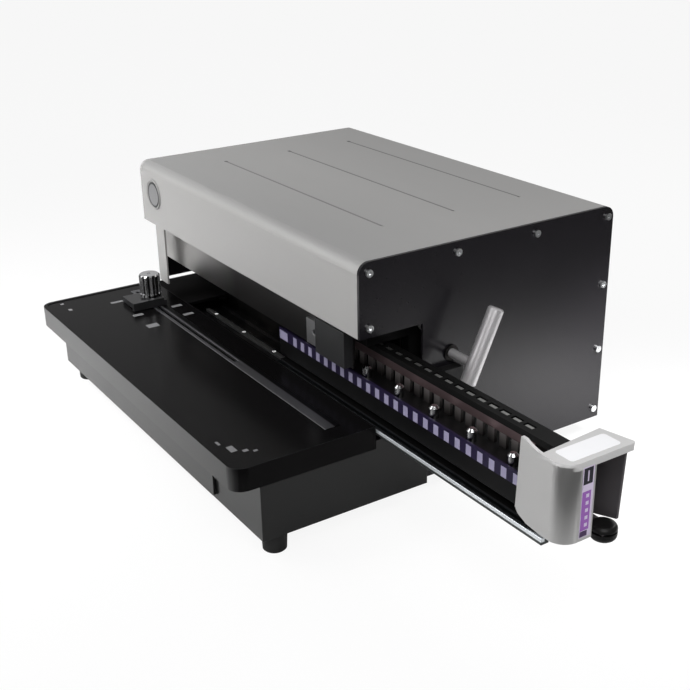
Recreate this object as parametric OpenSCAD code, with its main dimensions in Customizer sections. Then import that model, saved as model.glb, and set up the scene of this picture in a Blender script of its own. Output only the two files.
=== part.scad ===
// Electric binding punch with an interchangeable die, drawn with the die pulled part-way out.
// Machine axes: x = 0 is the right panel's outer face, y = 0 the fascia's front, z = 0 the desk.
// Every node is shifted so that the part's origin is the middle of its footprint on the desk.

/* [Housing] */
// Depth of the housing from the fascia to the back sheet
housing_d = 300; // [290:1:330]
// Height of the cover's top above the desk
housing_top = 249; // [246:1:270]
// Height of the front fascia
fascia_h = 70; // [66:1:74]
// Thickness of the cover's sheet
sheet_t = 2; // [1.5:0.1:2.4]
// Thickness of the side panels
panel_t = 3; // [2:0.5:4]
// Outer bend radius of the cover's long top edges
bend_r = 11; // [8:1:14]
// Width of the fascia's left post
post_w = 22; // [20:1:32]
// Distance of the post from the housing's left side
post_inset = 32; // [28:1:34]
// Gap between the paper table and the foot of the post
post_gap = 16; // [12:1:30]
// Head diameter of the panel screws
panel_screw_d = 7; // [6:0.5:9]
// Diameter of the round badge
badge_d = 35; // [25:1:40]
// Length of the grooves pressed into the cover's top
groove_len = 310; // [200:5:340]

/* [Base and table] */
// Height of the rubber feet
foot_h = 20; // [14:1:24]
// Diameter of the rubber feet
foot_d = 24; // [18:1:28]
// How far the table stands out past each side panel
side_overhang = 10; // [6:1:14]
// Reach of the table in front of the fascia
table_reach = 133.5; // [125:0.5:150]
// Height of the table's top above the desk
table_z = 96.5; // [94:0.5:100]
// Thickness of the table's top
table_t = 3; // [2.5:0.5:4]
// Height of the table's rim
rim_h = 21.5; // [18:0.5:22]
// Corner radius of the table
rim_r = 14; // [10:1:40]
// Set-back of the base's front under the rim
body_recess = 24; // [18:1:30]
// Wall of the base pan
wall_t = 2.5; // [2:0.5:3]

/* [Side guide] */
// Width of the rail let into the table
guide_rail_w = 16; // [14:1:20]
// Distance of the rail's centre in front of the fascia
guide_rail_y = 22; // [20:1:30]
// Diameter of the clamp knob
knob_d = 24; // [20:1:28]
// Height of the clamp knob
knob_h = 26; // [20:1:30]

/* [Die] */
// Number of holes that the die punches
hole_count = 23; // [20:1:26]
// Pitch of the holes
hole_pitch = 14.2875; // [13:0.0125:15]
// Width of a punch pin
pin_w = 8; // [6:0.5:9]
// Thickness of a punch pin
pin_t = 3; // [2.5:0.1:3.5]
// Depth of the die from front to back
die_d = 43.5; // [42:0.5:46]
// How far the die is pulled out
die_out = 194.5; // [150:0.5:220]
// Height of the paper slot
slot_h = 5; // [4.5:0.1:6]
// Stroke of the punch pins
stroke = 8; // [7:0.5:9]
// Depth of the chrome rail from front to back
rail_w = 8; // [6:0.5:8]
// Height of the chrome rail
rail_h = 6; // [5:0.5:8]
// Height of the index strip
strip_h = 12; // [9:0.5:12]

/* [Handle and lever] */
// Length of the handle past the die's end plate
handle_len = 33; // [30:1:40]
// Depth of the handle from front to back
handle_d = 67; // [64:1:72]
// Height of the handle's top above the die slot's floor
handle_rise = 67; // [64:1:70]
// Outer corner radius of the handle
handle_r = 15; // [10:1:18]
// Diameter of the lock lever's rod
lever_d = 15; // [10:1:16]
// Length of the lock lever's rod above its shaft
lever_up = 55; // [40:1:60]
// Lean of the lock lever when open
lever_lean = 25; // [10:1:30]

/* [Drawer] */
// Width of the chip drawer's front
drawer_w = 343; // [320:1:350]
// Distance of the drawer's front from the base's left side
drawer_inset = 46; // [40:1:56]

/* [Hidden] */

// Clearances that the fits share
run_gap = 0.05;   // round running fits, on the radius
slide_gap = 0.3;  // flat faces that slide past each other
pin_gap = 0.05;   // pins in their slots
cut = 1;          // how far a cutting tool stands past the face that it cuts
round_fn = 64;

// Die, along x
die_lead_l = 34.8;
die_lead_r = 29.8875;
die_len = die_lead_l + (hole_count - 1) * hole_pitch + die_lead_r;
gate_gap = 0.5;
die_right = side_overhang + gate_gap + die_out;
die_left = die_right - die_len;
pin1_x = die_left + die_lead_l;
pin_xs = [for (k = [0:hole_count - 1]) pin1_x + k * hole_pitch];

// Frames and housing, along x
frame_t = 10;
bay_clear = 5.3;
drive_bay = 69;
frame_r_gap = 15;
frame_l_x = side_overhang + gate_gap - die_len - bay_clear - frame_t;
frame_r_x = -panel_t - frame_r_gap - frame_t;
panel_l_x = frame_l_x - drive_bay - panel_t;
base_l = panel_l_x - side_overhang;
base_r = side_overhang;
handle_x = die_right + 6;
handle_end = handle_x + handle_len;
label_t = 0.3;
back_flange = 2;

// Front to back
front_y = -table_reach + body_recess;
die_y = 18.5;
die_back = die_y + die_d;
table_rear = die_y - rail_w - 0.8;
gate_y = die_back + 6.4;
base_back = gate_y - 0.4;
pin_y = die_y + 21;
mid_x = (base_l + handle_end + label_t) / 2;
mid_y = (housing_d + back_flange - table_reach) / 2;

// Heights
base_z = foot_h;
floor_z = base_z + wall_t;
fascia_z = housing_top - fascia_h;
rim_z = table_z - rim_h;
deck_drop = 2;
deck_top = table_z - deck_drop;
die_top = table_z - 1.5;
plate_t = 10.7;
plate_z = die_top - plate_t;
wear_t = 3;
bed_t = 5;
bed_top = plate_z - slide_gap - wear_t;
bed_z = bed_top - bed_t;
gate_z = bed_top + 2;
block_z = die_top + slot_h;
block_h = 28;
block_top = block_z + block_h;
strip_t = 2;
strip_z = block_top - 9.8;
strip_top = strip_z + strip_h;
bar_z = block_top + stroke + 5;
bar_h = 12.5;
rail_z = bar_z + bar_h;
rail_t = 5.5;
rail_top = rail_z + rail_t;
press_z = rail_top + 0.4;
rail_d = 17;
bar_d = 12;
bar_y = pin_y - pin_t / 2 - 1;

// Press drive
cam_e = stroke / 2;
shaft_r = 6;
cam_r = cam_e + shaft_r + 2;
cam_t = 14;
yoke_t = 10;
window_up = cam_r + 3 * cam_e + 1;
window_down = cam_r + cam_e + 1;
window_half = cam_r + cam_e + 1;
yoke_wall = 3.5;
press_h = 15;
cam_z = press_z + press_h + window_down + 1;
cam_xs = [frame_l_x + frame_t + 46, frame_r_x - 44];
bearing_r = 14;
gear_m = 1.25;
gear_n = 32;
pinion_n = 16;
gear_t = 9;
gear_x = frame_l_x - 22;
pinion_y = pin_y + gear_m * (gear_n + pinion_n) / 2;
motor_shaft_r = 4;
motor_r = 29;
bracket_t = 3;
bracket_x = gear_x - 6;
bracket_half = 27;

// Press frame
throat_y = gate_y - 2.4;
frame_back = gate_y + 80;
frame_top = housing_top - 11;
frame_front = pin_y - 19.5;
jaw_z = press_z + 2.6;
toe_y = 12;
toe_t = 8;
bed_back = base_back - wall_t;
bed_wall = 2;

// Lock lever
lever_y = 100.5;
lever_z = 143;
lever_x = 35;
lever_down = 18.5;
lever_shaft_r = 4.5;
bush_r = lever_shaft_r + 1.8;
bush_flange = lever_shaft_r + 3.2;
lever_swing = 66;
finger_w = 10;
finger_reach = lever_y - die_back + 4;
finger_drop = lever_z - block_top - slide_gap - finger_w / 2;
finger_len = norm([finger_reach, finger_drop]);
finger_shut = 180 + atan2(finger_drop, finger_reach);

// Guard, drawer, guide
guard_y = 12.5;
guard_t = 2.5;
guard_z = strip_top + 7.8;
guard_x = panel_l_x + 22;
guard_end = -30;
drawer_x = base_l + drawer_inset;
drawer_front_t = 2.5;
tray_inset = 8;
tray_z = floor_z + 3.5;
tray_h = 40;
tray_back = die_back - 2;
guide_x = base_l + 67;
guide_z = table_z + 0.5 + slide_gap;
guide_h = 6;
fence_rise = 3.3;
fence_t = 5;
guide_half = 20;
rail_x = base_l + 20;
rail_end = -12;
groove_len_x = 255;
groove_end = rail_x + groove_len_x;
stud_r = 2;
groove_w = 2 * stud_r + 0.6;
groove_y = -guide_rail_y - 2;

module place() {
    translate([-mid_x, -mid_y, 0]) children();
}

// A block between two opposite corners
module block(low, high) {
    translate(low) cube(high - low);
}

// A (y, z) outline pushed out along x
module along_x(x0, x1) {
    translate([x0, 0, 0]) rotate([90, 0, 90]) linear_extrude(x1 - x0) children();
}

// An (x, z) outline pushed out along y
module along_y(y0, y1) {
    translate([0, y1, 0]) rotate([90, 0, 0]) linear_extrude(y1 - y0) children();
}

module rod_x(x0, x1, y, z, r) {
    translate([x0, y, z]) rotate([0, 90, 0]) cylinder(r = r, h = x1 - x0, $fn = round_fn);
}

module rod_z(x, y, z0, z1, r) {
    translate([x, y, z0]) cylinder(r = r, h = z1 - z0, $fn = round_fn);
}

// Housing above the fascia's lower edge, drawn in by inset, with both top edges rounded
module cap_outline(inset) {
    r = max(bend_r - inset, 1);
    deep = housing_d - 2 * inset;
    tall = fascia_h - inset;
    translate([inset, fascia_z]) square([deep, tall - r]);
    translate([inset + r, fascia_z]) square([deep - 2 * r, tall]);
    for (y = [inset + r, housing_d - inset - r])
        translate([y, housing_top - inset - r]) circle(r = r, $fn = round_fn);
}

// Screws of one side panel, as [y, z]
screw_in = 10;
panel_screw_yz = [
    [screw_in, housing_top - screw_in],
    [106.4, housing_top - screw_in],
    [housing_d - 100, housing_top - screw_in],
    [housing_d - 8, housing_top - screw_in],
    [screw_in, fascia_z + 9.3],
    [housing_d - 8, housing_top - 80.2],
    [housing_d - 8, housing_top - 150.3],
    [housing_d - 8, base_z + 11]
];
panel_screw_r = 2;
flange_w = 16;
panel_screw_len = 8;

module panel_holes(x0, x1) {
    for (p = panel_screw_yz) rod_x(x0, x1, p[0], p[1], panel_screw_r + run_gap);
}

// Back panel fittings: middle of each along x, and their common height
inlet_x = -60;
switch_x = -105;
pedal_x = -140;
fitting_z = 60;
inlet_w = 27;
inlet_h = 20;
switch_w = 20;
switch_h = 28;
pedal_r = 6;

module wrap_cover() {
    x0 = panel_l_x + panel_t;
    x1 = -panel_t;
    lip = 5;
    groove_w = 2.5;
    groove_deep = 0.8;
    groove_x = x0 + 67;
    color("silver") place() difference() {
        union() {
            along_x(x0, x1) difference() {
                union() {
                    cap_outline(0);
                    translate([housing_d - sheet_t, base_z])
                        square([sheet_t, fascia_z - base_z + cut]);
                }
                union() {
                    cap_outline(sheet_t);
                    translate([sheet_t, fascia_z - cut])
                        square([housing_d - 2 * sheet_t, 2 * cut]);
                }
            }
            block([x0, 0, fascia_z], [x1, lip, fascia_z + sheet_t]);
            block([panel_l_x + post_inset, 0, table_z + post_gap],
                [panel_l_x + post_inset + post_w, sheet_t, fascia_z + sheet_t]);
            for (x = [x0, x1 - sheet_t]) along_x(x, x + sheet_t) {
                difference() {
                    cap_outline(0);
                    union() {
                        cap_outline(flange_w);
                        translate([flange_w, fascia_z - cut])
                            square([housing_d - 2 * flange_w, 2 * cut]);
                    }
                }
                translate([housing_d - flange_w, base_z])
                    square([flange_w, fascia_z - base_z + cut]);
            }
        }
        panel_holes(x0 - cut, x1 + cut);
        for (y = [77, housing_d / 2 + 11, housing_d - 55])
            block([groove_x, y, housing_top - groove_deep],
                [groove_x + groove_len, y + groove_w, housing_top + cut]);
        block([x0 - cut, housing_d - flange_w - cut, base_z - cut],
            [x1 + cut, housing_d - sheet_t, floor_z]);
        block([inlet_x - inlet_w / 2, housing_d - 2 * sheet_t, fitting_z - inlet_h / 2],
            [inlet_x + inlet_w / 2, housing_d + cut, fitting_z + inlet_h / 2]);
        block([switch_x - switch_w / 2, housing_d - 2 * sheet_t, fitting_z - switch_h / 2],
            [switch_x + switch_w / 2, housing_d + cut, fitting_z + switch_h / 2]);
        translate([pedal_x, housing_d + cut, fitting_z]) rotate([90, 0, 0])
            cylinder(r = pedal_r + run_gap, h = 3 * sheet_t, $fn = round_fn);
    }
}

module right_panel() {
    color("#29272b") place() difference() {
        along_x(-panel_t, 0) {
            cap_outline(0);
            translate([gate_y, base_z]) square([housing_d - gate_y, fascia_z - base_z + cut]);
        }
        panel_holes(-panel_t - cut, cut);
        rod_x(-panel_t - cut, cut, lever_y, lever_z, bush_r + run_gap);
        if (gate_top > fascia_z) block([-panel_t - cut, -cut, fascia_z - cut], [cut, gate_y, gate_top]);
    }
}

// The left panel leaves a slot above the deck, through which a long sheet can stand out
module left_panel() {
    slot_top = deck_top + 8.5;
    slot_y = 20;
    color("#29272b") place() difference() {
        along_x(panel_l_x, panel_l_x + panel_t) {
            cap_outline(0);
            translate([slot_y, slot_top]) square([housing_d - slot_y, fascia_z - slot_top + cut]);
            translate([gate_y, base_z]) square([housing_d - gate_y, slot_top - base_z + cut]);
        }
        panel_holes(panel_l_x - cut, panel_l_x + panel_t + cut);
    }
}

module panel_screw(side) {
    head_h = 2.4;
    rotate([0, 90 * side, 0]) difference() {
        union() {
            cylinder(d = panel_screw_d, h = head_h, $fn = round_fn);
            translate([0, 0, -panel_screw_len])
                cylinder(r = panel_screw_r, h = panel_screw_len + cut, $fn = round_fn);
        }
        translate([0, 0, head_h - 1.2]) cylinder(d = 3, h = 2, $fn = 6);
    }
}

module panel_screws() {
    color("lightgray") place() for (p = panel_screw_yz) {
        translate([0, p[0], p[1]]) panel_screw(1);
        translate([panel_l_x, p[0], p[1]]) panel_screw(-1);
    }
}

module cover_badge() {
    badge_t = 1.5;
    color("gray") place() translate([panel_l_x + 35, 0, housing_top - fascia_h / 2 + 2.5]) rotate([90, 0, 0])
        difference() {
            cylinder(d = badge_d, h = badge_t, $fn = round_fn);
            translate([0, 0, badge_t - 0.5]) difference() {
                cylinder(d = badge_d - 4, h = cut, $fn = round_fn);
                translate([0, 0, -cut]) cylinder(d = badge_d - 7, h = 3 * cut, $fn = round_fn);
            }
        }
}

module base_pan() {
    under_table = table_z - table_t;
    skirt = 3.5;
    tray_x0 = drawer_x + tray_inset;
    tray_x1 = drawer_x + drawer_w - tray_inset;
    color("#232225") place() difference() {
        union() {
            block([base_l, front_y, base_z], [base_r, base_back, floor_z]);
            block([panel_l_x + panel_t, base_back - cut, base_z],
                [-panel_t, housing_d - sheet_t, floor_z]);
            block([base_l, front_y, base_z], [base_r, front_y + wall_t, rim_z]);
            block([base_l + skirt, front_y, rim_z - cut],
                [base_r - skirt, front_y + wall_t, under_table]);
            for (x = [base_l, base_r - wall_t])
                block([x, front_y, base_z], [x + wall_t, base_back, rim_z]);
            block([base_l, table_rear, rim_z - cut], [base_l + wall_t, base_back, deck_top - table_t]);
            block([base_l, base_back - wall_t, base_z],
                [panel_l_x + panel_t, base_back, deck_top - table_t]);
            block([base_r - wall_t, table_rear, rim_z - cut], [base_r, base_back, gate_z]);
            block([-panel_t, base_back - wall_t, base_z], [base_r, base_back, gate_z]);
        }
        block([tray_x0 - 1.5, front_y - cut, tray_z - 1],
            [tray_x1 + 1.5, front_y + wall_t + cut, tray_z + tray_h + 1.5]);
        for (p = foot_xy) rod_z(p[0], p[1], base_z - cut, floor_z + cut, foot_screw_r + run_gap);
    }
}

// Table outline with two round front corners, drawn in by inset
module table_outline(inset, rear) {
    x0 = base_l + inset;
    x1 = base_r - inset;
    y0 = -table_reach + inset;
    r = rim_r - inset;
    translate([x0, y0 + r]) square([x1 - x0, rear - y0 - r]);
    translate([x0 + r, y0]) square([x1 - x0 - 2 * r, rear - y0]);
    for (x = [x0 + r, x1 - r]) translate([x, y0 + r]) circle(r = r, $fn = round_fn);
}

module paper_table() {
    skirt = 3;
    lip_w = 4;
    lip_h = 0.8;
    color("#17171a") place() difference() {
        union() {
            translate([0, 0, table_z - table_t]) linear_extrude(table_t)
                table_outline(0, table_rear);
            translate([0, 0, rim_z]) linear_extrude(rim_h - table_t) difference() {
                table_outline(0, table_rear);
                table_outline(skirt, table_rear + cut);
            }
            translate([0, 0, table_z]) linear_extrude(lip_h) difference() {
                table_outline(0, table_rear);
                table_outline(lip_w, table_rear + cut);
            }
            block([base_l, table_rear - cut, deck_top - table_t],
                [frame_l_x + frame_t - 2, throat_y - 0.6, deck_top]);
            block([base_l, table_rear - cut, deck_top - table_t],
                [frame_l_x - 0.5, base_back, deck_top]);
        }
        block([rail_x, -guide_rail_y - guide_rail_w / 2, table_z - 2],
            [rail_end, -guide_rail_y + guide_rail_w / 2, table_z + cut]);
        block([rail_x + 6, groove_y - groove_w / 2, rim_z],
            [groove_end, groove_y + groove_w / 2, table_z + cut]);
    }
}

module guide_rail() {
    color("#6d6d72") place() difference() {
        block([rail_x, -guide_rail_y - guide_rail_w / 2, table_z - 2],
            [rail_end, -guide_rail_y + guide_rail_w / 2, table_z + 0.5]);
        block([rail_x + 6, groove_y - groove_w / 2, table_z - 2 - cut],
            [groove_end, groove_y + groove_w / 2, table_z + cut]);
    }
}

boss_h = 2;

// Side guide: a stepped block on the rail with a fence for the paper's edge
module side_guide() {
    color("#151517") place() difference() {
        union() {
            block([guide_x - guide_half, groove_y - 27, guide_z],
                [guide_x + guide_half, groove_y + 11, guide_z + guide_h]);
            block([guide_x + guide_half - fence_t, groove_y - 30, guide_z],
                [guide_x + guide_half, groove_y + 8, guide_z + guide_h + fence_rise]);
            rod_z(guide_x, groove_y, guide_z, guide_z + guide_h + boss_h, knob_d / 2 - 2);
        }
        rod_z(guide_x, groove_y, guide_z - cut, guide_z + guide_h + boss_h + cut, stud_r + run_gap);
    }
}

module clamp_nut() {
    nut_h = 6;
    nut_x = 9;
    nut_y = 7;
    nut_top = table_z - table_t - slide_gap;
    color("gray") place() difference() {
        block([guide_x - nut_x, groove_y - nut_y, nut_top - nut_h],
            [guide_x + nut_x, groove_y + nut_y, nut_top]);
        rod_z(guide_x, groove_y, nut_top - nut_h - cut, nut_top + cut, stud_r + run_gap);
    }
}

knob_z = guide_z + guide_h + boss_h + slide_gap;

module guide_knob() {
    flutes = 12;
    flute_r = 1.9;
    color("#8a8a8e") place() translate([guide_x, groove_y, knob_z]) difference() {
        rotate_extrude($fn = round_fn) polygon([
            [stud_r + run_gap, 0], [knob_d / 2, 0], [knob_d / 2, knob_h - 1.5],
            [knob_d / 2 - 1.5, knob_h], [stud_r + run_gap, knob_h]]);
        for (a = [0:360 / flutes:359]) rotate(a) translate([knob_d / 2 + 0.3, 0, 3])
            cylinder(r = flute_r, h = knob_h, $fn = 24);
    }
}

module clamp_screw() {
    color("silver") place()
        rod_z(guide_x, groove_y, table_z - table_t - slide_gap - 8, knob_z + knob_h - 1, stud_r);
}

// Safety guard that hangs in front of the die, with a flange behind the fascia
module throat_guard() {
    color("#3a3a3d") place() {
        block([guard_x, guard_y, guard_z], [guard_end, guard_y + guard_t, fascia_z + 5]);
        block([guard_x, sheet_t, fascia_z + 3], [guard_end, guard_y + cut, fascia_z + 5]);
    }
}

module guard_bracket() {
    x0 = guard_end - 75;
    low = guard_z + 2;
    tall = 0.6 * (fascia_z + 3 - low);
    hole_d = 6;
    color("#b9b9bb") place() difference() {
        block([x0, guard_y - 3, low], [x0 + 24, guard_y, low + tall]);
        translate([x0 + 14, guard_y + cut, low + 0.56 * tall]) rotate([90, 0, 0])
            cylinder(d = hole_d, h = 6, $fn = round_fn);
    }
}

module interlock_block() {
    color("#141416") place()
        block([guard_end - 49, sheet_t + 1, guard_z + 2], [guard_end, guard_y, fascia_z - 4]);
}

chip_half = 2.6;
bed_rib_in = 9;

// Bed that the die slides on, open under the pins so that the chips fall into the drawer,
// with a wall behind the die that shuts off the drive
module die_bed() {
    color("#3c3c40") place() difference() {
        union() {
            block([frame_l_x - 11, table_rear + 1, bed_z], [base_r - wall_t - 0.5, bed_back, bed_top]);
            block([frame_l_x + frame_t, bed_back - bed_wall, bed_z], [frame_r_x, bed_back, press_z + 1]);
            block([wear_x0, die_back - bed_rib_in, bed_top - cut],
                [wear_x1, die_back - bed_rib_in + wear_w, bed_top + wear_t]);
        }
        block([frame_l_x + frame_t + 4, pin_y - chip_half, bed_z - cut],
            [frame_r_x - 4, pin_y + chip_half, bed_top + cut]);
        for (p = wear_screw_xy) rod_z(p[0], p[1], bed_z - cut, bed_top + cut, wear_screw_r + run_gap);
    }
}

wear_w = 5;
wear_y = pin_y - chip_half - wear_w;
wear_screw_r = 1.2;
wear_head_r = 2.2;
wear_screws = 6;
wear_x0 = frame_l_x + frame_t + 2;
wear_x1 = base_r - wall_t - 1;
wear_in = 22;
wear_step = (wear_x1 - wear_x0 - 2 * wear_in) / (wear_screws - 1);
wear_screw_xy = [for (k = [0:wear_screws - 1]) [wear_x0 + wear_in + k * wear_step, wear_y + wear_w / 2]];

module wear_strips() {
    color("#8b8b8f") place() difference() {
        block([wear_x0, wear_y, bed_top], [wear_x1, wear_y + wear_w, bed_top + wear_t]);
        for (p = wear_screw_xy) {
            rod_z(p[0], p[1], bed_top - cut, bed_top + wear_t + cut, wear_screw_r + run_gap);
            rod_z(p[0], p[1], bed_top + 1, bed_top + wear_t + cut, wear_head_r + run_gap);
        }
    }
}

module strip_screws() {
    color("white") place() for (p = wear_screw_xy) {
        rod_z(p[0], p[1], bed_z, bed_top + 1.5, wear_screw_r);
        rod_z(p[0], p[1], bed_top + 1, bed_top + wear_t, wear_head_r);
    }
}

// C-shaped press frame: a lower jaw under the bed, the throat, and an upper jaw for the cam shaft
module frame_outline() {
    polygon([[throat_y, floor_z], [frame_back, floor_z], [frame_back, frame_top],
        [frame_front, frame_top], [frame_front, jaw_z], [throat_y, jaw_z], [throat_y, bed_z],
        [toe_y, bed_z], [toe_y, bed_z - toe_t], [throat_y, bed_z - toe_t]]);
}

tie_r = 7;
tie_in = 18;
tie_yz = [[frame_back - tie_in, floor_z + 2 * tie_in], [frame_back - tie_in, frame_top - tie_in]];

module right_frame() {
    color("#55555a") place() difference() {
        along_x(frame_r_x, frame_r_x + frame_t) frame_outline();
        rod_x(frame_r_x - cut, frame_r_x + frame_t + cut, pin_y, cam_z, bearing_r + run_gap);
        rod_x(frame_r_x - cut, frame_r_x + frame_t + cut, lever_y, lever_z, lever_shaft_r + run_gap);
    }
}

module left_frame() {
    color("#55555a") place() difference() {
        along_x(frame_l_x, frame_l_x + frame_t) frame_outline();
        rod_x(frame_l_x - cut, frame_l_x + frame_t + cut, pin_y, cam_z, bearing_r + run_gap);
    }
}

module tie_bars() {
    color("silver") place()
        for (p = tie_yz) rod_x(frame_l_x + frame_t, frame_r_x, p[0], p[1], tie_r);
}

guide_len = 14;
press_end_gap = 8.3;
press_x0 = frame_l_x + frame_t + press_end_gap;
press_x1 = frame_r_x - press_end_gap;

// Two slotted gibs that the press bar's ends slide in
module press_guides() {
    half = rail_d / 2 + 7;
    z0 = jaw_z;
    z1 = cam_z + window_up;
    color("#77777c") place() difference() {
        for (x = [frame_l_x + frame_t, frame_r_x - guide_len])
            block([x, pin_y - half, z0], [x + guide_len, pin_y + half, z1]);
        for (x = [press_x0 - slide_gap, press_x1 + slide_gap - guide_len])
            block([x, pin_y - rail_d / 2 - slide_gap, z0 - cut],
                [x + guide_len, pin_y + rail_d / 2 + slide_gap, z1 + cut]);
        for (x = [frame_l_x + frame_t - cut, frame_r_x - guide_len - cut])
            rod_x(x, x + guide_len + 2 * cut, pin_y, cam_z, shaft_r + 2);
    }
}

module press_bar() {
    color("#6a6a70") place() difference() {
        union() {
            block([press_x0, pin_y - rail_d / 2, press_z],
                [press_x1, pin_y + rail_d / 2, press_z + press_h]);
            for (x = cam_xs)
                block([x - yoke_t / 2, pin_y - window_half - yoke_wall, press_z + press_h - cut],
                    [x + yoke_t / 2, pin_y + window_half + yoke_wall, cam_z + window_up + yoke_wall]);
        }
        for (x = cam_xs)
            block([x - yoke_t, pin_y - window_half, cam_z - window_down],
                [x + yoke_t, pin_y + window_half, cam_z + window_up]);
    }
}

module cam_shaft() {
    color("silver") place()
        rod_x(gear_x - 2, frame_r_x + frame_t + 2, pin_y, cam_z, shaft_r);
}

module press_cams() {
    color("#9a9a9e") place() difference() {
        for (x = cam_xs) rod_x(x - cam_t / 2, x + cam_t / 2, pin_y, cam_z + cam_e, cam_r);
        rod_x(frame_l_x, frame_r_x, pin_y, cam_z, shaft_r + run_gap);
    }
}

module shaft_bearings() {
    color("#c8c8cc") place() difference() {
        for (x = [frame_l_x, frame_r_x]) rod_x(x, x + frame_t, pin_y, cam_z, bearing_r);
        rod_x(frame_l_x - cut, frame_r_x + frame_t + cut, pin_y, cam_z, shaft_r + run_gap);
    }
}

// Spur gear outline with straight-sided teeth, a tooth on the +x side
module gear_outline(n) {
    r = gear_m * n / 2;
    tooth = 360 / n;
    function at(rr, a) = [rr * cos(a), rr * sin(a)];
    polygon([for (k = [0:n - 1]) each [
        at(r - 1.25 * gear_m, (k - 0.31) * tooth), at(r + 0.9 * gear_m, (k - 0.12) * tooth),
        at(r + 0.9 * gear_m, (k + 0.12) * tooth), at(r - 1.25 * gear_m, (k + 0.31) * tooth)]]);
}

module drive_gear() {
    color("#b08d4a") place() translate([gear_x, pin_y, cam_z]) rotate([90, 0, 90]) difference() {
        linear_extrude(gear_t) gear_outline(gear_n);
        translate([0, 0, -cut]) cylinder(r = shaft_r + run_gap, h = gear_t + 2 * cut, $fn = round_fn);
    }
}

module motor_pinion() {
    color("#9a9a9e") place() translate([gear_x, pinion_y, cam_z]) rotate([90, 0, 90]) {
        rotate(180 / pinion_n) linear_extrude(gear_t) gear_outline(pinion_n);
        translate([0, 0, -24]) cylinder(r = motor_shaft_r, h = 25, $fn = round_fn);
    }
}

module drive_motor() {
    motor_len = bracket_x - panel_l_x - panel_t - 2;
    color("#2f2f33") place() difference() {
        union() {
            rod_x(bracket_x - motor_len, bracket_x, pinion_y, cam_z, motor_r);
            rod_x(bracket_x - cut, bracket_x + bracket_t + 1, pinion_y, cam_z, motor_shaft_r + 4);
        }
        rod_x(gear_x - 25, gear_x, pinion_y, cam_z, motor_shaft_r + run_gap);
    }
}

module motor_bracket() {
    color("#8f8f94") place() difference() {
        union() {
            block([bracket_x, pinion_y - bracket_half, cam_z - motor_r],
                [bracket_x + bracket_t, pinion_y + bracket_half, cam_z + bracket_half]);
            block([bracket_x, gate_y, floor_z],
                [bracket_x + bracket_t, pinion_y + bracket_half, cam_z - motor_r + cut]);
            block([bracket_x, gate_y, floor_z],
                [bracket_x + 20, pinion_y + bracket_half, floor_z + bracket_t]);
        }
        rod_x(bracket_x - cut, bracket_x + bracket_t + cut, pinion_y, cam_z, motor_shaft_r + 4 + run_gap);
    }
}

board_x = -230;
board_w = 140;
board_d = 110;
board_back = 25;
board_y = housing_d - board_back - board_d;
post_h = 10;
post_in = 8;
board_post_r = 3;

module control_board() {
    board_t = 1.6;
    coil = [50, 46, 39];
    can_r = 7;
    can_h = 26;
    can_step = 18;
    fin = [50, 4, 31];
    top = floor_z + post_h + board_t;
    color("darkgreen") place() {
        block([board_x, board_y, floor_z + post_h], [board_x + board_w, board_y + board_d, top]);
        translate([board_x + 12, board_y + 14, top - cut]) cube(coil);
        for (k = [0:2])
            rod_z(board_x + 84 + k * can_step, board_y + 24, top - cut, top + can_h, can_r);
        translate([board_x + 76, board_y + 66, top - cut]) cube(fin);
    }
}

module board_posts() {
    color("silver") place() for (x = [post_in, board_w - post_in])
        for (y = [post_in, board_d - post_in])
            rod_z(board_x + x, board_y + y, floor_z, floor_z + post_h, board_post_r);
}

module power_inlet() {
    wall = 1.5;
    deep = 20;
    color("#121214") place() {
        difference() {
            union() {
                block([inlet_x - inlet_w / 2, housing_d - deep, fitting_z - inlet_h / 2],
                    [inlet_x + inlet_w / 2, housing_d, fitting_z + inlet_h / 2]);
                block([inlet_x - inlet_w / 2 - 4, housing_d, fitting_z - inlet_h / 2 - 3],
                    [inlet_x + inlet_w / 2 + 4, housing_d + back_flange, fitting_z + inlet_h / 2 + 3]);
            }
            block([inlet_x - inlet_w / 2 + wall, housing_d - deep + 3, fitting_z - inlet_h / 2 + wall],
                [inlet_x + inlet_w / 2 - wall, housing_d + back_flange + cut, fitting_z + inlet_h / 2 - wall]);
        }
        for (p = [[-7, -1], [0, 3], [7, -1]])
            block([inlet_x + p[0] - 1, housing_d - deep + 2, fitting_z + p[1] - 2.5],
                [inlet_x + p[0] + 1, housing_d - 4, fitting_z + p[1] + 2.5]);
    }
}

rocker_r = 1.5;
rocker_y = housing_d - 4;

module switch_frame() {
    wall = 2;
    deep = 18;
    color("#121214") place() difference() {
        union() {
            block([switch_x - switch_w / 2, housing_d - deep, fitting_z - switch_h / 2],
                [switch_x + switch_w / 2, housing_d, fitting_z + switch_h / 2]);
            block([switch_x - switch_w / 2 - 2, housing_d, fitting_z - switch_h / 2 - 2],
                [switch_x + switch_w / 2 + 2, housing_d + back_flange, fitting_z + switch_h / 2 + 2]);
        }
        block([switch_x - switch_w / 2 + wall, housing_d - deep + 4, fitting_z - switch_h / 2 + wall],
            [switch_x + switch_w / 2 - wall, housing_d + back_flange + cut, fitting_z + switch_h / 2 - wall]);
        rod_x(switch_x - switch_w / 2 - cut, switch_x + switch_w / 2 + cut, rocker_y, fitting_z,
            rocker_r + run_gap);
    }
}

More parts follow.
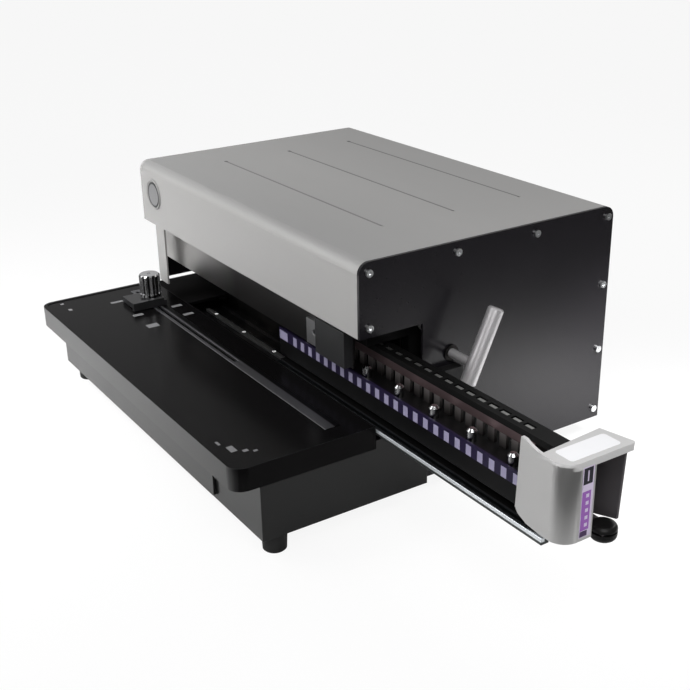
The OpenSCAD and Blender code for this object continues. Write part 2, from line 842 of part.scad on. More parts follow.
// Rocker with a shallow V front, on its own pivot pin
module switch_rocker() {
    half_w = switch_w / 2 - 2 - slide_gap;
    half_h = switch_h / 2 - 2 - 1.2;
    front = housing_d + back_flange - 1.7;
    color("#1d1d20") place() {
        along_x(switch_x - half_w, switch_x + half_w) polygon([
            [rocker_y - 4, fitting_z - 6], [front - 1.4, fitting_z - half_h], [front, fitting_z - half_h + 1],
            [front - 1.6, fitting_z], [front, fitting_z + half_h - 1], [front - 1.4, fitting_z + half_h],
            [rocker_y - 4, fitting_z + 6]]);
        rod_x(switch_x - switch_w / 2, switch_x + switch_w / 2, rocker_y, fitting_z, rocker_r);
    }
}

jack_r = 3.25;
jack_len = 14;

module pedal_socket() {
    color("#1a1a1c") place() translate([pedal_x, housing_d + back_flange, fitting_z]) rotate([90, 0, 0])
        difference() {
            union() {
                cylinder(r = pedal_r + 2.5, h = back_flange, $fn = round_fn);
                cylinder(r = pedal_r, h = jack_len + 4, $fn = round_fn);
            }
            translate([0, 0, -cut]) cylinder(r = jack_r, h = jack_len + cut, $fn = round_fn);
        }
}

foot_screw_r = 2.2;
foot_head_r = 4.5;
foot_recess = 9;
foot_in = 15;
foot_rear = 56;
foot_xy = [
    [base_r - foot_in, front_y + 19.5], [base_l + foot_in, front_y + 19.5],
    [-panel_t - foot_rear, housing_d - 30], [panel_l_x + panel_t + foot_rear, housing_d - 30]
];

module rubber_feet() {
    color("#111113") place() for (p = foot_xy) translate([p[0], p[1], 0]) rotate_extrude($fn = round_fn)
        polygon([[foot_head_r + 1, 0], [foot_d / 2 - 2, 0], [foot_d / 2 - 1, 1], [foot_d / 2, foot_h],
            [foot_screw_r + run_gap, foot_h], [foot_screw_r + run_gap, foot_recess], [foot_head_r + 1, foot_recess]]);
}

module foot_screws() {
    color("silver") place() for (p = foot_xy) {
        rod_z(p[0], p[1], foot_recess - 4, foot_recess, foot_head_r);
        rod_z(p[0], p[1], foot_recess - cut, floor_z + 2, foot_screw_r);
    }
}

module lever_bush() {
    flange_t = 2;
    color("#4a4a4e") place() difference() {
        union() {
            rod_x(-panel_t - flange_t, cut, lever_y, lever_z, bush_r);
            rod_x(0, flange_t, lever_y, lever_z, bush_flange);
        }
        rod_x(-panel_t - flange_t - cut, flange_t + cut, lever_y, lever_z, lever_shaft_r + run_gap);
    }
}

// Stop that the lever's lower end swings in front of
module lever_stop() {
    color("#3d3e40") place()
        translate([0, lever_y - 14.5, lever_z - 25.2]) cube([10, 22, 13.5]);
}

// Rod, shaft and lock finger of the die lock, one clamped piece that swings about the shaft.
// Shut, the finger holds the guide block down; open, it stands clear of the die.
module lever_arm() {
    cam_x0 = -panel_t - 12;
    cam_x1 = -panel_t - 3;
    color("#d5d5d8") place() translate([0, lever_y, lever_z]) {
        translate([frame_r_x - 6, 0, 0]) rotate([0, 90, 0])
            cylinder(r = lever_shaft_r, h = lever_x - frame_r_x + 6, $fn = round_fn);
        translate([lever_x, 0, 0]) rotate([-lever_lean, 0, 0]) translate([0, 0, -lever_down])
            rotate_extrude($fn = round_fn) polygon([
                [0, 0], [lever_d / 2 - 1, 0], [lever_d / 2, 1], [lever_d / 2, lever_down + lever_up - 1.5],
                [lever_d / 2 - 1.5, lever_down + lever_up], [0, lever_down + lever_up]]);
        along_x(cam_x0, cam_x1) {
            circle(r = lever_shaft_r + 7, $fn = round_fn);
            rotate(finger_shut - lever_swing) translate([0, -finger_w / 2]) square([finger_len, finger_w]);
        }
    }
}

module drawer_runners() {
    color("#77777b") place() for (x = [drawer_x + 20, drawer_x + drawer_w - 28])
        block([x, front_y + wall_t + 4, floor_z], [x + 8, tray_back, tray_z - slide_gap]);
}

module drawer_tray() {
    wall = 2;
    x0 = drawer_x + tray_inset;
    x1 = drawer_x + drawer_w - tray_inset;
    color("#2b2b2e") place() difference() {
        block([x0, front_y - 0.5, tray_z], [x1, tray_back, tray_z + tray_h]);
        block([x0 + wall, front_y - 0.5 + wall, tray_z + wall],
            [x1 - wall, tray_back - wall, tray_z + tray_h + cut]);
    }
}

module drawer_front() {
    y1 = front_y - 0.5;
    corner = 3;
    z0 = tray_z - 1.5;
    z1 = rim_z - 1.5;
    color("#242427") place() along_y(y1 - drawer_front_t, y1) {
        translate([drawer_x, z0 + corner]) square([drawer_w, z1 - z0 - corner]);
        translate([drawer_x + corner, z0]) square([drawer_w - 2 * corner, corner + cut]);
        for (x = [drawer_x + corner, drawer_x + drawer_w - corner])
            translate([x, z0 + corner]) circle(r = corner, $fn = round_fn);
    }
}

// Slots that the pins run in, through whatever lies between z0 and z1
module pin_slots(z0, z1, gap) {
    for (x = pin_xs) block([x - pin_w / 2 - gap, pin_y - pin_t / 2 - gap, z0],
        [x + pin_w / 2 + gap, pin_y + pin_t / 2 + gap, z1]);
}

die_screw_r = 2.5;
die_head_r = 4.3;
die_head_h = 5;
die_screw_y = die_back - 5;
die_screws_n = 5;
die_screw_xs = [for (k = [0:die_screws_n - 1]) die_left + 20 + k * (die_len - 40) / (die_screws_n - 1)];

module die_screw_holes(z0, z1) {
    for (x = die_screw_xs) rod_z(x, die_screw_y, z0, z1, die_screw_r + run_gap);
}

module die_plate() {
    color("#2d2d30") place() difference() {
        block([die_left, die_y, plate_z], [die_right, die_back, die_top]);
        pin_slots(plate_z - cut, die_top + cut, pin_gap);
        die_screw_holes(plate_z + 3, die_top + cut);
    }
}

module die_rail() {
    rail_past = 19.5;
    top = die_top - 1;
    color("#d0d6dc") place()
        block([die_left, die_y - rail_w, top - rail_h], [die_right + rail_past, die_y, top]);
}

module slot_spacer() {
    color("#3a3a3d") place() difference() {
        block([die_left, die_back - 10, die_top], [die_right, die_back, block_z]);
        die_screw_holes(die_top - cut, block_z + cut);
    }
}

pillar_r = 4;
pillar_in = 8;
pillar_y = bar_y + bar_d / 2;
pillar_xs = [die_left + pillar_in, die_right - pillar_in];
pillar_deep = 10;
pillar_skin = 1.2;

// Block that guides the pins, with a chamfered front lip over the paper slot
module guide_block() {
    chamfer = 2;
    color("#252428") place() difference() {
        along_x(die_left, die_right) polygon([
            [die_y + chamfer, block_z], [die_back, block_z], [die_back, block_top],
            [die_y + strip_t, block_top], [die_y + strip_t, strip_z], [die_y, strip_z],
            [die_y, block_z + chamfer]]);
        pin_slots(block_z - cut, block_top + cut, pin_gap);
        die_screw_holes(block_z - cut, block_top + cut);
        for (x = die_screw_xs)
            rod_z(x, die_screw_y, block_top - die_head_h, block_top + cut, die_head_r + run_gap);
        for (x = pillar_xs) rod_z(x, pillar_y, block_top - pillar_deep, block_top + cut, pillar_r + run_gap);
    }
}

module index_strip() {
    color("#35304a") place()
        block([die_left, die_y, strip_z], [die_right - 12, die_y + strip_t, strip_top]);
}

posts_n = 7;
post_pitch = 3.5 * hole_pitch;
post_r = 4.5;
post_rise = 11;

module bright_posts() {
    first = pin1_x + (hole_count - 1) * hole_pitch / 2 - (posts_n - 1) * post_pitch / 2 + 4.7;
    color("#d9dadc") place() for (k = [0:posts_n - 1])
        translate([first + k * post_pitch, die_y + 7.5, block_top]) rotate_extrude($fn = round_fn)
            polygon([[0, 0], [post_r, 0], [post_r, post_rise - 2], [post_r - 2, post_rise], [0, post_rise]]);
}

module guide_pillars() {
    color("silver") place() for (x = pillar_xs)
        rod_z(x, pillar_y, block_top - pillar_deep, rail_top - stroke - pillar_skin - 0.8, pillar_r);
}

module die_screws() {
    color("#55555a") place() difference() {
        for (x = die_screw_xs) {
            rod_z(x, die_screw_y, plate_z + 3, block_top - die_head_h + cut, die_screw_r);
            rod_z(x, die_screw_y, block_top - die_head_h, block_top, die_head_r);
        }
        for (x = die_screw_xs) translate([x, die_screw_y, block_top - 2.5])
            cylinder(d = 4, h = 4, $fn = 6);
    }
}

module pin_bar() {
    color("#574a50") place() difference() {
        block([die_left + 2, bar_y, bar_z], [die_right - 2, bar_y + bar_d, rail_z]);
        pin_slots(bar_z - cut, rail_z + cut, pin_gap);
        for (x = pillar_xs) rod_z(x, pillar_y, bar_z - cut, rail_z + cut, pillar_r + run_gap);
    }
}

module punch_pins() {
    tip = block_z + 1;
    pin_deep = 0.8;
    color("#6f6a68") place() pin_slots(tip, rail_top - pin_deep, 0);
}

module top_rail() {
    slot_edge = 1.2;
    color("#1e1d20") place() difference() {
        block([die_left + 2, pin_y - rail_d / 2, rail_z],
            [die_right + end_t - 0.5, pin_y + rail_d / 2, rail_top]);
        pin_slots(rail_z - cut, rail_top + cut, slot_edge);
        for (x = pillar_xs) rod_z(x, pillar_y, rail_z - cut, rail_top - pillar_skin, pillar_r + run_gap);
    }
}

// Handle placing
handle_y = die_y - 6.5;
handle_back = handle_y + handle_d;
handle_top = die_top + handle_rise;
handle_wall = 3;
handle_lid = 6;
ear_top = handle_top + 5;
gate_top = ear_top + 12;
handle_flange = 30;
end_t = 6;
tail_t = 2.5;
tab_z = die_top - 11.5;
tab_t = 2;
bumper_x = die_right + 25;
bumper_y = handle_back - 9;
bumper_neck = 5;

// End plate of the die with its tail behind the finger gap and a tab for the bumper
module die_end_plate() {
    under_lid = handle_top - handle_lid;
    plate_top = rail_z - stroke - 1;
    color("#222124") place() difference() {
        union() {
            block([die_right, die_y, plate_z + 2], [die_right + end_t, handle_back, plate_top]);
            along_y(handle_back - tail_t, handle_back) polygon([
                [die_right + cut, plate_z + 2], [handle_x, plate_z + 2], [handle_end - 8, die_top - 1.5],
                [handle_end - 5, under_lid], [handle_x + 4, under_lid], [die_right + cut, plate_top - cut]]);
            block([die_right, handle_back - 17, tab_z], [die_right + tab_t, handle_back - 1, plate_z + 3]);
            block([die_right, handle_back - 17, tab_z], [bumper_x + 7, handle_back - 1, tab_z + tab_t]);
        }
        rod_z(bumper_x, bumper_y, tab_z - cut, tab_z + tab_t + cut, bumper_neck + run_gap);
        block([die_right - cut, die_y - cut, plate_z], [die_right + end_t + cut, die_y + 0.5, die_top]);
    }
}

// Plan of the handle's outside from its left end to the rear edge y1
module handle_plan(x0, y1, inset) {
    r = handle_r - inset;
    x1 = handle_end - inset;
    y0 = handle_y + inset;
    translate([x0, y0]) square([x1 - r - x0, y1 - y0]);
    translate([x0, y0 + r]) square([x1 - x0, y1 - y0 - r]);
    translate([x1 - r, y0 + r]) circle(r = r, $fn = round_fn);
}

// Moulded pull: a front wall with an ear, a round corner, an end flange and a lid over the finger gap
module handle() {
    ear_x = die_right - 12.5;
    scoop_r = 42.5;
    scoop_x = handle_x + 9;
    foot_z = die_top;
    lid_front_x = handle_x + 6;
    lid_back_x = handle_x + 1;
    lid_skew = 3;
    lid_back = handle_back + lid_skew;
    lid_z = handle_top - handle_lid;
    lid_r = 3;
    rib_t = 8;
    rib_d = 48;
    color("#a6a6a8") place() {
        intersection() {
            translate([0, 0, foot_z - cut]) linear_extrude(ear_top - foot_z + 2 * cut) difference() {
                handle_plan(ear_x, handle_y + handle_flange, 0);
                handle_plan(ear_x - cut, handle_y + handle_flange + cut, handle_wall);
            }
            along_y(handle_y - cut, handle_back + cut) difference() {
                polygon([
                    [ear_x, foot_z + 11], [ear_x + 3, foot_z + 6.5], [ear_x + 13, foot_z + 2],
                    [ear_x + 30, foot_z],
                    [handle_end, foot_z], [handle_end, handle_top], [scoop_x, handle_top],
                    [scoop_x, ear_top], [ear_x + 3, ear_top]]);
                translate([scoop_x, handle_top + scoop_r]) circle(r = scoop_r, $fn = round_fn);
            }
        }
        intersection() {
            translate([0, 0, lid_z]) linear_extrude(handle_lid) {
                handle_plan(handle_x, lid_back - lid_r, 0);
                translate([handle_x, lid_back - 2 * lid_r])
                    square([handle_end - lid_r - handle_x, 2 * lid_r]);
                translate([handle_end - lid_r, lid_back - lid_r]) circle(r = lid_r, $fn = round_fn);
            }
            translate([0, 0, lid_z - cut]) linear_extrude(handle_lid + 2 * cut) polygon([
                [lid_front_x, handle_y - cut], [handle_end + cut, handle_y - cut],
                [handle_end + cut, lid_back + cut], [lid_back_x, handle_back - lid_skew]]);
        }
        block([handle_x, handle_y + handle_wall - cut, die_top + 3],
            [handle_x + rib_t, handle_y + rib_d, lid_z + cut]);
    }
}

module handle_label() {
    color("white") place()
        block([handle_x + 9, handle_y + 10, handle_top], [handle_end - 5, handle_back - 7, handle_top + label_t]);
}

module end_label() {
    color("#7d4fa6") place()
        block([handle_end, handle_y + handle_r + 2, die_top + 3],
            [handle_end + label_t, handle_y + handle_flange - 2, handle_top - 5]);
}

// Grooved rubber bumper that snaps into the tab's hole
module bumper() {
    r = 11;
    z0 = tab_z - 7.5;
    z1 = tab_z + 4.5 + tab_t;
    low_r = 5;
    top_r = 4;
    color("#101012") place() translate([bumper_x, bumper_y, 0]) rotate_extrude($fn = round_fn)
        polygon(concat([[0, z0]],
            [for (a = [-90:15:0]) [r - low_r + low_r * cos(a), z0 + low_r + low_r * sin(a)]],
            [[r, tab_z], [bumper_neck, tab_z], [bumper_neck, tab_z + tab_t], [r, tab_z + tab_t]],
            [for (a = [0:15:90]) [r - top_r + top_r * cos(a), z1 - top_r + top_r * sin(a)]],
            [[0, z1]]));
}

base_pan();
paper_table();
guide_rail();
wrap_cover();
right_panel();
left_panel();
panel_screws();
cover_badge();
throat_guard();
guard_bracket();
interlock_block();
die_bed();
wear_strips();
strip_screws();
right_frame();
left_frame();
tie_bars();
press_guides();
shaft_bearings();
drive_motor();
motor_bracket();
control_board();
board_posts();
power_inlet();
switch_frame();
pedal_socket();
rubber_feet();
foot_screws();
lever_bush();
lever_stop();
drawer_runners();
drawer_tray();
drawer_front();
side_guide();
clamp_nut();
guide_knob();
clamp_screw();
die_plate();
die_rail();
slot_spacer();
guide_block();
index_strip();
bright_posts();
guide_pillars();
die_screws();
die_end_plate();
handle();
handle_label();
end_label();
bumper();
pin_bar();
punch_pins();
top_rail();
press_bar();
cam_shaft();
press_cams();
drive_gear();
motor_pinion();
lever_arm();
switch_rocker();
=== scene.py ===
import bpy
import bmesh
import math
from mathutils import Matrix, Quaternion, Vector


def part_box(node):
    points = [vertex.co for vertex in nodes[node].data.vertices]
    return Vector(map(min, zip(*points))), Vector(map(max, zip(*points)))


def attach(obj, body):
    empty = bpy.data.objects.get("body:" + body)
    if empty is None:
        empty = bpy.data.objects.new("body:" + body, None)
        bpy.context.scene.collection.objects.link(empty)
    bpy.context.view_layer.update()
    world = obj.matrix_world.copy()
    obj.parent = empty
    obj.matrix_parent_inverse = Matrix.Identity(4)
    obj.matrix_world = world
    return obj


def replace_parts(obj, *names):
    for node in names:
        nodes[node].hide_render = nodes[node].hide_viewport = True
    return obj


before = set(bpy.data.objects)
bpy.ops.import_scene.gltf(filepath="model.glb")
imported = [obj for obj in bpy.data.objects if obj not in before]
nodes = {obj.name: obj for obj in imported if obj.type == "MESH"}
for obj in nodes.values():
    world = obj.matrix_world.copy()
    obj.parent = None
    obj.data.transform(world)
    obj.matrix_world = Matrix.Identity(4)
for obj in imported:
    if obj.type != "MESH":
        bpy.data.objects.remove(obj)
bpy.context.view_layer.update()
mm = 0.001
print("frame loaded,", len(nodes), "nodes")


def corners(node):
    low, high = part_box(node)
    return Vector(low), Vector(high)


# Shader node groups, shared by the finishes below

def newGroup(name, inputs, outputs):
    group = bpy.data.node_groups.new(name, "ShaderNodeTree")
    for label, kind, value in inputs:
        socket = group.interface.new_socket(label, in_out="INPUT", socket_type=kind)
        socket.default_value = value
    for label, kind in outputs:
        group.interface.new_socket(label, in_out="OUTPUT", socket_type=kind)
    return group, group.nodes.new("NodeGroupInput").outputs, group.nodes.new("NodeGroupOutput").inputs


def fill(tree, socket, value):
    if isinstance(value, bpy.types.NodeSocket):
        tree.links.new(value, socket)
    else:
        socket.default_value = value


def calc(tree, operation, a, b=0.0, c=0.0):
    node = tree.nodes.new("ShaderNodeMath")
    node.operation = operation
    for socket, value in zip(node.inputs, (a, b, c)):
        fill(tree, socket, value)
    return node.outputs[0]


def noise(tree, vector, scale, detail=2.0):
    node = tree.nodes.new("ShaderNodeTexNoise")
    node.inputs["Detail"].default_value = detail
    fill(tree, node.inputs["Vector"], vector)
    fill(tree, node.inputs["Scale"], scale)
    return node.outputs["Fac"]


def spot(tree, value, low, high):
    node = tree.nodes.new("ShaderNodeMapRange")
    fill(tree, node.inputs["Value"], value)
    fill(tree, node.inputs["From Min"], low)
    fill(tree, node.inputs["From Max"], high)
    return node.outputs["Result"]


def blendColour(tree, factor, a, b):
    node = tree.nodes.new("ShaderNodeMix")
    node.data_type = "RGBA"
    inputs = {s.identifier: s for s in node.inputs}
    fill(tree, inputs["Factor_Float"], factor)
    fill(tree, inputs["A_Color"], a)
    fill(tree, inputs["B_Color"], b)
    return {s.identifier: s for s in node.outputs}["Result_Color"]


def tint(tree, colour, factor):
    node = tree.nodes.new("ShaderNodeVectorMath")
    node.operation = "SCALE"
    fill(tree, node.inputs[0], colour)
    fill(tree, node.inputs["Scale"], factor)
    return node.outputs[0]


def place(tree):
    return tree.nodes.new("ShaderNodeTexCoord").outputs["Object"]


def stretched(tree, vector, stretch):
    node = tree.nodes.new("ShaderNodeVectorMath")
    node.operation = "MULTIPLY"
    fill(tree, node.inputs[0], vector)
    fill(tree, node.inputs[1], stretch)
    return node.outputs[0]


skinNoise = {"slow": 7.0, "streaks": (11.0, 34.0, 5.0), "specks": 420.0, "speckRange": (0.66, 0.78),
             "streakDust": 0.5, "streakHeight": 0.15}


# Paint, plastic and rubber: a slow drift of tone, a fine grain, and a thin film of dust
def makeCoatGroup(s):
    colour, number = "NodeSocketColor", "NodeSocketFloat"
    group, given, result = newGroup("coatedSkin", [
        ("Colour", colour, (0.5, 0.5, 0.5, 1)), ("Dust Colour", colour, (0.5, 0.5, 0.5, 1)),
        ("Drift", number, 0.1), ("Dust", number, 0.05), ("Roughness", number, 0.4),
        ("Roughness Drift", number, 0.1), ("Grain Scale", number, 900.0)],
        [("Colour", colour), ("Roughness", number), ("Height", number)])
    where = place(group)
    slow = noise(group, where, s["slow"], detail=3.0)
    streak = noise(group, stretched(group, where, s["streaks"]), 1.0, detail=4.0)
    fine = noise(group, where, given["Grain Scale"])
    specks = spot(group, noise(group, where, s["specks"], detail=1.0), *s["speckRange"])
    tone = calc(group, "MULTIPLY_ADD", calc(group, "SUBTRACT", slow, 0.5), given["Drift"], 1.0)
    film = calc(group, "MULTIPLY_ADD", streak, s["streakDust"], specks)
    dust = calc(group, "MULTIPLY", given["Dust"], film)
    toned = tint(group, given["Colour"], tone)
    fill(group, result["Colour"], blendColour(group, dust, toned, given["Dust Colour"]))
    uneven = calc(group, "SUBTRACT", streak, 0.5)
    rough = calc(group, "MULTIPLY_ADD", uneven, given["Roughness Drift"], given["Roughness"])
    fill(group, result["Roughness"], rough)
    fill(group, result["Height"], calc(group, "MULTIPLY_ADD", streak, s["streakHeight"], fine))
    return group


metalNoise = {"oil": 26.0, "oilRange": (0.45, 0.75), "stainRough": 0.15}


# Bare metal: long scratches the way the stock was ground, with darker oil stains
def makeMetalGroup(s):
    colour, number = "NodeSocketColor", "NodeSocketFloat"
    group, given, result = newGroup("groundMetal", [
        ("Colour", colour, (0.6, 0.6, 0.6, 1)), ("Stain Colour", colour, (0.2, 0.2, 0.2, 1)),
        ("Stretch", "NodeSocketVector", (4.0, 900.0, 900.0)), ("Scratch", number, 0.15),
        ("Stain", number, 0.2), ("Roughness", number, 0.3)],
        [("Colour", colour), ("Roughness", number), ("Height", number)])
    where = place(group)
    lines = noise(group, stretched(group, where, given["Stretch"]), 1.0, detail=3.0)
    oil = spot(group, noise(group, where, s["oil"], detail=4.0), *s["oilRange"])
    uneven = calc(group, "SUBTRACT", lines, 0.5)
    tone = calc(group, "MULTIPLY_ADD", uneven, given["Scratch"], 1.0)
    stain = calc(group, "MULTIPLY", oil, given["Stain"])
    toned = tint(group, given["Colour"], tone)
    fill(group, result["Colour"], blendColour(group, stain, toned, given["Stain Colour"]))
    rough = calc(group, "MULTIPLY_ADD", uneven, given["Scratch"], given["Roughness"])
    fill(group, result["Roughness"], calc(group, "MULTIPLY_ADD", stain, s["stainRough"], rough))
    fill(group, result["Height"], lines)
    return group


# Where each mask starts and is full, along one part of the normal
faceLimits = {"upright": (0.75, 0.35), "front": (-0.6, -0.9), "side": (0.85, 0.97), "rise": (0.25, 0.45),
              "flat": (0.98, 0.9)}


# Masks: upright faces, faces to the front, faces to either side, and rounded upper edges
def makeUprightGroup(s):
    masks = [(label, "NodeSocketFloat") for label in ("Mask", "Front", "Side", "Edge")]
    group, _, result = newGroup("uprightFaces", [], masks)
    split = group.nodes.new("ShaderNodeSeparateXYZ")
    fill(group, split.inputs[0], group.nodes.new("ShaderNodeNewGeometry").outputs["Normal"])
    across, ahead, up = split.outputs
    fill(group, result["Mask"], spot(group, calc(group, "ABSOLUTE", up), *s["upright"]))
    fill(group, result["Front"], spot(group, ahead, *s["front"]))
    fill(group, result["Side"], spot(group, calc(group, "ABSOLUTE", across), *s["side"]))
    rise = spot(group, up, *s["rise"])
    fill(group, result["Edge"], calc(group, "MULTIPLY", rise, spot(group, up, *s["flat"])))
    return group


coatGroup = makeCoatGroup(skinNoise)
metalGroup = makeMetalGroup(metalNoise)
uprightGroup = makeUprightGroup(faceLimits)
bumpStrength = 0.5


def newMaterial(name, settings):
    material = bpy.data.materials.new(name)
    material.use_nodes = True
    tree = material.node_tree
    shader = tree.nodes["Principled BSDF"]
    shader.inputs["Specular IOR Level"].default_value = settings.get("specular", 0.5)
    shader.inputs["Metallic"].default_value = settings.get("metallic", 0.0)
    shader.inputs["Coat Weight"].default_value = settings.get("coat", 0.0)
    shader.inputs["Coat Roughness"].default_value = settings.get("coatRough", 0.1)
    return material, tree, shader


def bumped(tree, shader, height, distance):
    node = tree.nodes.new("ShaderNodeBump")
    node.inputs["Strength"].default_value = bumpStrength
    node.inputs["Distance"].default_value = distance
    fill(tree, node.inputs["Height"], height)
    fill(tree, shader.inputs["Normal"], node.outputs["Normal"])


def opaque(rgb):
    return (rgb[0], rgb[1], rgb[2], 1.0)


def coated(name, settings):
    material, tree, shader = newMaterial(name, settings)
    skin = tree.nodes.new("ShaderNodeGroup")
    skin.node_tree = coatGroup
    skin.inputs["Colour"].default_value = opaque(settings["colour"])
    skin.inputs["Dust Colour"].default_value = opaque(settings.get("dustColour", (0.5, 0.5, 0.5)))
    skin.inputs["Drift"].default_value = settings.get("drift", 0.12)
    skin.inputs["Dust"].default_value = settings.get("dust", 0.01)
    skin.inputs["Roughness"].default_value = settings["rough"]
    skin.inputs["Roughness Drift"].default_value = settings.get("roughDrift", 0.08)
    skin.inputs["Grain Scale"].default_value = settings.get("grain", 1100.0)
    fill(tree, shader.inputs["Base Color"], skin.outputs["Colour"])
    fill(tree, shader.inputs["Roughness"], skin.outputs["Roughness"])
    bumped(tree, shader, skin.outputs["Height"], settings.get("bump", 0.00004))
    return material


def ground(name, settings):
    material, tree, shader = newMaterial(name, {"metallic": 1.0, **settings})
    metal = tree.nodes.new("ShaderNodeGroup")
    metal.node_tree = metalGroup
    metal.inputs["Colour"].default_value = opaque(settings["colour"])
    metal.inputs["Stain Colour"].default_value = opaque(settings.get("stainColour", (0.12, 0.11, 0.1)))
    metal.inputs["Stretch"].default_value = settings.get("stretch", (5.0, 700.0, 700.0))
    metal.inputs["Scratch"].default_value = settings.get("scratch", 0.15)
    metal.inputs["Stain"].default_value = settings.get("stain", 0.15)
    metal.inputs["Roughness"].default_value = settings["rough"]
    fill(tree, shader.inputs["Base Color"], metal.outputs["Colour"])
    fill(tree, shader.inputs["Roughness"], metal.outputs["Roughness"])
    bumped(tree, shader, metal.outputs["Height"], settings.get("bump", 0.00002))
    return material


# Share of the way through a node's box along one axis, between two limits
def along(tree, name, axis, start, end):
    low, high = corners(name)
    base = nodes[name].matrix_world.translation
    split = tree.nodes.new("ShaderNodeSeparateXYZ")
    fill(tree, split.inputs[0], place(tree))
    first, last = (low[axis] - base[axis] + (high[axis] - low[axis]) * share for share in (start, end))
    return spot(tree, split.outputs[axis], first, last)


# Lay a second colour over a finish where the mask is one
def shade(material, mask, colour):
    tree = material.node_tree
    socket = tree.nodes["Principled BSDF"].inputs["Base Color"]
    fill(tree, socket, blendColour(tree, mask, socket.links[0].from_socket, opaque(colour)))


def roughen(material, mask, rough):
    tree = material.node_tree
    socket = tree.nodes["Principled BSDF"].inputs["Roughness"]
    under = socket.links[0].from_socket
    fill(tree, socket, calc(tree, "MULTIPLY_ADD", mask, calc(tree, "SUBTRACT", rough, under), under))


def faces(material, which):
    node = material.node_tree.nodes.new("ShaderNodeGroup")
    node.node_tree = uprightGroup
    return node.outputs[which]


# Clear coat on the faces that look to the front
def lacquer(material, weight):
    tree = material.node_tree
    coat = calc(tree, "MULTIPLY", faces(material, "Front"), weight)
    fill(tree, tree.nodes["Principled BSDF"].inputs["Coat Weight"], coat)


# Level faces get their own colour, gloss and share of metal, a painted lit or shaded copy of the finish
def levelFaces(material, settings, more=0.0):
    tree = material.node_tree
    level = calc(tree, "MAXIMUM", calc(tree, "SUBTRACT", 1.0, faces(material, "Mask")), more)
    metallic = tree.nodes["Principled BSDF"].inputs["Metallic"]
    share = metallic.default_value
    fill(tree, metallic, calc(tree, "MULTIPLY_ADD", level, settings["metallic"] - share, share))
    shade(material, level, settings["colour"])
    roughen(material, level, settings["rough"])


def dress(material, *names):
    for name in names:
        piece = nodes[name]
        piece.data.materials.clear()
        piece.data.materials.append(material)


# Small rounds on sharp edges; flatten joins the triangles of flat faces first, so that thin ones don't show
def soften(width, *names, segments=2, flatten=False):
    for name in names:
        piece = nodes[name]
        weld = piece.modifiers.new("joinCorners", "WELD")
        weld.merge_threshold = 0.02 * mm
        if flatten:
            flat = piece.modifiers.new("joinFlatFaces", "DECIMATE")
            flat.decimate_type = "DISSOLVE"
            flat.angle_limit = math.radians(1)
        edge = piece.modifiers.new("softEdges", "BEVEL")
        edge.width = width
        edge.segments = segments
        edge.limit_method = "ANGLE"
        edge.angle_limit = math.radians(35)
        edge.use_clamp_overlap = True
        edge.harden_normals = True


# Housing
coverPaint = {"colour": (0.40, 0.395, 0.39), "rough": 0.52, "metallic": 0.2, "specular": 0.3, "drift": 0.05,
              "grain": 1800.0, "bump": 0.00003, "dust": 0.01, "frontShade": (0.34, 0.337, 0.335),
              "frontShadeRange": (0.45, 0.05)}
badgeGrey = {"colour": (0.30, 0.30, 0.305), "rough": 0.4, "metallic": 0.4, "ring": (0.05, 0.05, 0.052),
             "middle": (1.5 * mm, -0.5 * mm), "inner": 12.2 * mm, "outer": 14.8 * mm, "blur": 0.3 * mm,
             "rim": 0.2 * mm}
panelPaint = {"colour": (0.009, 0.008, 0.010), "rough": 0.22, "specular": 0.31, "grain": 1500.0, "dust": 0.004}
basePaint = {"colour": (0.008, 0.008, 0.008), "rough": 0.32, "specular": 0.33, "grain": 1300.0, "dust": 0.003,
             "lacquer": 0.52}
tablePaint = {"colour": (0.003, 0.0028, 0.003), "rough": 0.22, "specular": 0.055, "coatRough": 0.3,
              "grain": 1500.0, "dust": 0.0015, "lacquer": 0.88, "edgeHighlight": (0.07, 0.07, 0.075)}
deckMatt = {"start": 0.700, "end": 0.708, "rough": 0.85}
guardSteel = {"colour": (0.50, 0.49, 0.48), "rough": 0.3, "scratch": 0.1, "stain": 0.05,
              "rightShade": (0.075, 0.072, 0.072), "rightShadeRange": (0.08, 0.45)}


# A plain disc with a dark ring
def makeBadge(s):
    badge = coated("badgeGrey", s)
    tree = badge.node_tree
    low, high = corners("cover_badge")
    middle = (low + high) / 2 - nodes["cover_badge"].matrix_world.translation
    split = tree.nodes.new("ShaderNodeSeparateXYZ")
    fill(tree, split.inputs[0], place(tree))
    across = calc(tree, "SUBTRACT", split.outputs["X"], middle.x + s["middle"][0])
    up = calc(tree, "SUBTRACT", split.outputs["Z"], middle.z + s["middle"][1])
    away = calc(tree, "SQRT", calc(tree, "MULTIPLY_ADD", across, across, calc(tree, "MULTIPLY", up, up)))
    outside = spot(tree, away, s["inner"], s["inner"] + s["blur"])
    ring = calc(tree, "MULTIPLY", outside, spot(tree, away, s["outer"], s["outer"] - s["blur"]))
    shade(badge, ring, s["ring"])
    shade(badge, spot(tree, away, s["outer"] - s["rim"], s["outer"]), coverPaint["colour"])
    dress(badge, "cover_badge")


